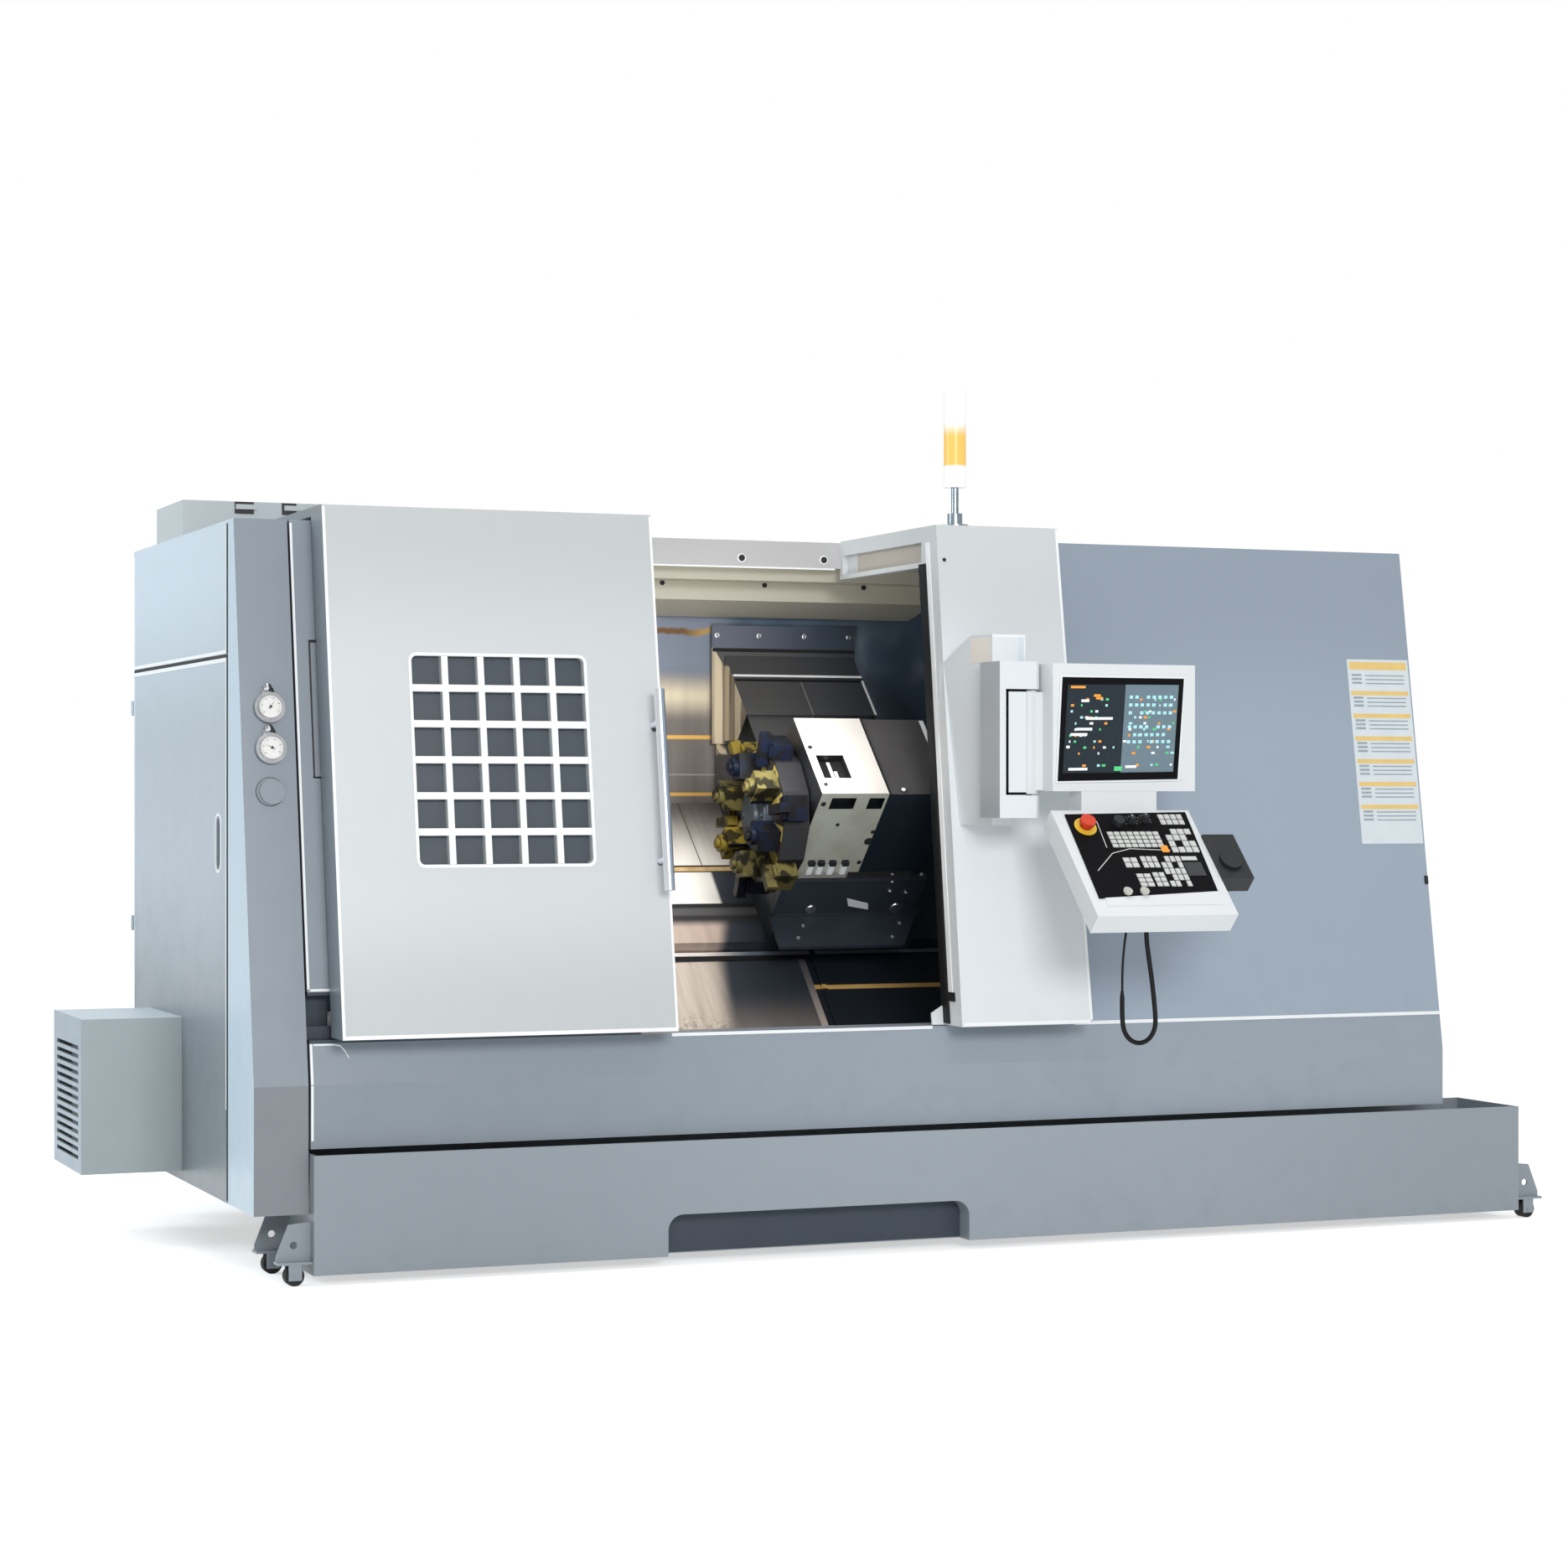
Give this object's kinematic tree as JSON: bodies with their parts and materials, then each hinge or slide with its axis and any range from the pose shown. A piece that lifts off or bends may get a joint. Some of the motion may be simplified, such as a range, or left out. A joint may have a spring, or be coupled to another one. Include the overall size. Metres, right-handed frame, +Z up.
{
  "type": "cnc turning lathe",
  "caption": "Slant-bed turning lathe in a leaning sheet-metal enclosure with a sliding window door, tool turret, tailstock, swivelling control screen and roll-out coolant tank.",
  "frame": {"origin": "on the floor under the middle of the machine's outline", "axes": "+X to the right along the machine as the operator sees it, +Y to the back, +Z up"},
  "size_m": [3.901, 2.4355, 2.264],
  "materials": {
    "enclosure_paint": "satin blue-grey enamel",
    "white_paint": "satin grey-white enamel",
    "cream_paint": "satin cream enamel",
    "cast_bed": "painted casting",
    "bright_steel": "ground steel",
    "cover_steel": "oily brushed steel cover plate",
    "dark_steel": "dark blue-black enamel",
    "turret_white": "gloss white enamel",
    "tool_steel": "yellow and navy tool holders",
    "chrome_trim": "polished",
    "pane_glass": "dark laminated pane",
    "rubber_black": "matt black rubber",
    "belt_rubber": "ribbed belt rubber",
    "lamp_plastic": "clear and amber lens stack",
    "panel_plastic": "light moulded case",
    "black_plastic": "black moulded plastic",
    "red_plastic": "red push button",
    "key_plastic": "pale push button"
  },
  "bodies": {
    "machine": {"base_casting": "cast_bed", "levelling_feet": "bright_steel", "front_apron": "enclosure_paint", "left_pillar": "enclosure_paint", "pressure_gauges": "chrome_trim", "headstock_cover": "enclosure_paint", "access_hatch": "enclosure_paint", "side_frame": "enclosure_paint", "portal": "white_paint", "canopy_header": "cream_paint", "right_cover": "enclosure_paint", "chamber_lining": "cover_steel", "chip_chute": "cover_steel", "electrical_cabinet": "enclosure_paint", "door_rails": "dark_steel", "bed_ways": "bright_steel", "headstock_casting": "cast_bed", "spindle_motor": "dark_steel", "drive_belt": "belt_rubber", "fixed_way_covers": "cover_steel", "pendant_arm": "white_paint", "lamp_stem": "chrome_trim", "lamp_lens": "lamp_plastic"},
    "front_door": {"sliding_door": "white_paint", "window_glass": "pane_glass", "door_handle": "bright_steel"},
    "side_door": {"side_door": "enclosure_paint", "cooler_box": "enclosure_paint"},
    "cabinet_door": {"cabinet_door": "enclosure_paint"},
    "tank": {"coolant_tank": "enclosure_paint"},
    "left_wheels": {"left_wheels": "rubber_black"},
    "right_wheels": {"right_wheels": "rubber_black"},
    "carriage": {"saddle": "cover_steel", "carriage_covers": "cover_steel"},
    "cross_slide": {"cross_slide": "dark_steel", "turret_housing": "turret_white"},
    "turret": {"turret_disc": "tool_steel", "tool_holders": "tool_steel"},
    "slide_middle_cover": {"slide_middle_cover": "cover_steel"},
    "left_middle_cover": {"left_middle_cover": "cover_steel"},
    "right_middle_cover": {"right_middle_cover": "cover_steel"},
    "carriage_screw": {"carriage_screw": "bright_steel"},
    "spindle": {"spindle": "bright_steel", "chuck_body": "bright_steel"},
    "jaw_1": {"chuck_jaw_1": "bright_steel"},
    "jaw_2": {"chuck_jaw_2": "bright_steel"},
    "jaw_3": {"chuck_jaw_3": "bright_steel"},
    "motor_pulley": {"motor_pulley": "bright_steel"},
    "tailstock": {"tailstock": "cast_bed"},
    "quill": {"quill": "bright_steel"},
    "screen": {"screen_housing": "panel_plastic", "keyboard_desk": "panel_plastic", "handwheel_unit": "black_plastic", "panel_cable": "rubber_black", "panel_lead": "rubber_black"},
    "stop_button": {"stop_button": "red_plastic"},
    "start_button": {"start_button": "key_plastic"},
    "hold_button": {"hold_button": "key_plastic"},
    "feed_knob": {"feed_knob": "black_plastic"},
    "handwheel_dial": {"handwheel_dial": "black_plastic"}
  },
  "joints": [
    {"name": "door_slide", "type": "slide", "parent": "machine", "child": "front_door", "axis": [1, 0, 0], "range_m": [0, 0.765]},
    {"name": "side_door_hinge", "type": "hinge", "parent": "machine", "child": "side_door", "pos_m": [-1.6885, 0.81075, 0.85], "axis": [0, 0, -1], "range_deg": [0, 95]},
    {"name": "cabinet_door_hinge", "type": "hinge", "parent": "machine", "child": "cabinet_door", "pos_m": [-0.1765, 1.19975, 1.13], "axis": [0, 0, -1], "range_deg": [0, 110]},
    {"name": "tank_roll_out", "type": "slide", "parent": "machine", "child": "tank", "axis": [1, 0, 0], "range_m": [0, 1.2]},
    {"name": "left_wheels_roll", "type": "hinge", "parent": "tank", "child": "left_wheels", "pos_m": [-1.5925, -0.66425, 0.024], "axis": [0, 1, 0], "range_deg": [-30, 3000]},
    {"name": "right_wheels_roll", "type": "hinge", "parent": "tank", "child": "right_wheels", "pos_m": [1.9075, -0.66425, 0.024], "axis": [0, 1, 0], "range_deg": [-30, 3000]},
    {"name": "carriage_travel", "type": "slide", "parent": "machine", "child": "carriage", "axis": [1, 0, 0], "range_m": [-0.24, 0.59]},
    {"name": "cross_travel", "type": "slide", "parent": "carriage", "child": "cross_slide", "axis": [0, -0.7071, -0.7071], "range_m": [-0.235, 0.055]},
    {"name": "turret_index", "type": "hinge", "parent": "cross_slide", "child": "turret", "pos_m": [-0.1625, -0.17852, 1.12329], "axis": [1, 0, 0], "continuous": true},
    {"name": "slide_cover_travel", "type": "slide", "parent": "carriage", "child": "slide_middle_cover", "axis": [0, -0.7071, -0.7071], "range_m": [-0.12, 0.03]},
    {"name": "left_cover_travel", "type": "slide", "parent": "machine", "child": "left_middle_cover", "axis": [1, 0, 0], "range_m": [-0.12, 0.3]},
    {"name": "right_cover_travel", "type": "slide", "parent": "machine", "child": "right_middle_cover", "axis": [1, 0, 0], "range_m": [-0.12, 0.3]},
    {"name": "carriage_screw_turn", "type": "hinge", "parent": "machine", "child": "carriage_screw", "pos_m": [0.3495, 0.24786, 0.89207], "axis": [1, 0, 0], "range_deg": [-4400, 11000]},
    {"name": "spindle_turn", "type": "hinge", "parent": "machine", "child": "spindle", "pos_m": [-0.7505, -0.36025, 0.885], "axis": [1, 0, 0], "continuous": true},
    {"name": "jaw_1_grip", "type": "slide", "parent": "spindle", "child": "jaw_1", "axis": [0, -0.7071, 0.7071], "range_m": [-0.02, 0.012]},
    {"name": "jaw_2_grip", "type": "slide", "parent": "spindle", "child": "jaw_2", "axis": [0, -0.2588, -0.9659], "range_m": [-0.02, 0.012]},
    {"name": "jaw_3_grip", "type": "slide", "parent": "spindle", "child": "jaw_3", "axis": [0, 0.9659, 0.2588], "range_m": [-0.02, 0.012]},
    {"name": "motor_pulley_turn", "type": "hinge", "parent": "machine", "child": "motor_pulley", "pos_m": [-1.3555, 0.19836, 1.03349], "axis": [1, 0, 0], "continuous": true},
    {"name": "tailstock_travel", "type": "slide", "parent": "machine", "child": "tailstock", "axis": [1, 0, 0], "range_m": [-0.3, 0]},
    {"name": "quill_travel", "type": "slide", "parent": "tailstock", "child": "quill", "axis": [1, 0, 0], "range_m": [-0.12, 0]},
    {"name": "screen_pivot", "type": "hinge", "parent": "machine", "child": "screen", "pos_m": [0.2615, -0.88025, 1.312], "axis": [0, 0, 1], "range_deg": [-30, 20]},
    {"name": "stop_button_push", "type": "slide", "parent": "screen", "child": "stop_button", "axis": [0, 0.7071, -0.7071], "range_m": [0, 0.006], "stiffness_N_per_m": 900},
    {"name": "start_button_push", "type": "slide", "parent": "screen", "child": "start_button", "axis": [0, 0.7071, -0.7071], "range_m": [0, 0.004], "stiffness_N_per_m": 500},
    {"name": "hold_button_push", "type": "slide", "parent": "screen", "child": "hold_button", "axis": [0, 0.7071, -0.7071], "range_m": [0, 0.004], "stiffness_N_per_m": 500},
    {"name": "feed_knob_turn", "type": "hinge", "parent": "screen", "child": "feed_knob", "pos_m": [0.4555, -1.00209, 1.1093], "axis": [0, -0.7071, 0.7071], "range_deg": [-135, 135]},
    {"name": "handwheel_turn", "type": "hinge", "parent": "screen", "child": "handwheel_dial", "pos_m": [0.7265, -1.10109, 1.01313], "axis": [0, -0.7071, 0.7071], "continuous": true}
  ],
  "couplings": [
    {"joint": "left_wheels_roll", "follows": "tank_roll_out", "rad_per_m": 41.667},
    {"joint": "right_wheels_roll", "follows": "tank_roll_out", "rad_per_m": 41.667},
    {"joint": "slide_cover_travel", "follows": "cross_travel", "ratio": 0.5},
    {"joint": "left_cover_travel", "follows": "carriage_travel", "ratio": 0.5},
    {"joint": "right_cover_travel", "follows": "carriage_travel", "ratio": 0.5},
    {"joint": "carriage_screw_turn", "follows": "carriage_travel", "rad_per_m": 314.16},
    {"joint": "jaw_2_grip", "follows": "jaw_1_grip", "ratio": 1},
    {"joint": "jaw_3_grip", "follows": "jaw_1_grip", "ratio": 1},
    {"joint": "motor_pulley_turn", "follows": "spindle_turn", "ratio": 1.4}
  ]
}
